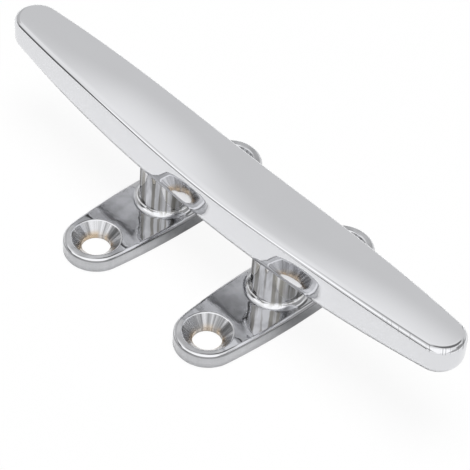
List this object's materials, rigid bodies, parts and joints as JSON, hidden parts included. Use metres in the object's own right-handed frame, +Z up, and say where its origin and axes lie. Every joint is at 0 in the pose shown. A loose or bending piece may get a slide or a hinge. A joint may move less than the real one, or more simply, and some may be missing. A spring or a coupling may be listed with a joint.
{
  "type": "mooring cleat",
  "caption": "Low flat mooring cleat: a boat-shaped horn on oval legs with countersunk feet, for making fast a line on a deck or dock.",
  "frame": {"origin": "centre of the mounting face, under the middle of the horn", "axes": "+X along the horn, +Y along the feet, +Z up from the deck"},
  "size_m": [0.203, 0.081, 0.04],
  "materials": {
    "polished_stainless": "mirror-polished cast stainless steel"
  },
  "bodies": {
    "root": {"cleat": "polished_stainless"}
  },
  "joints": []
}
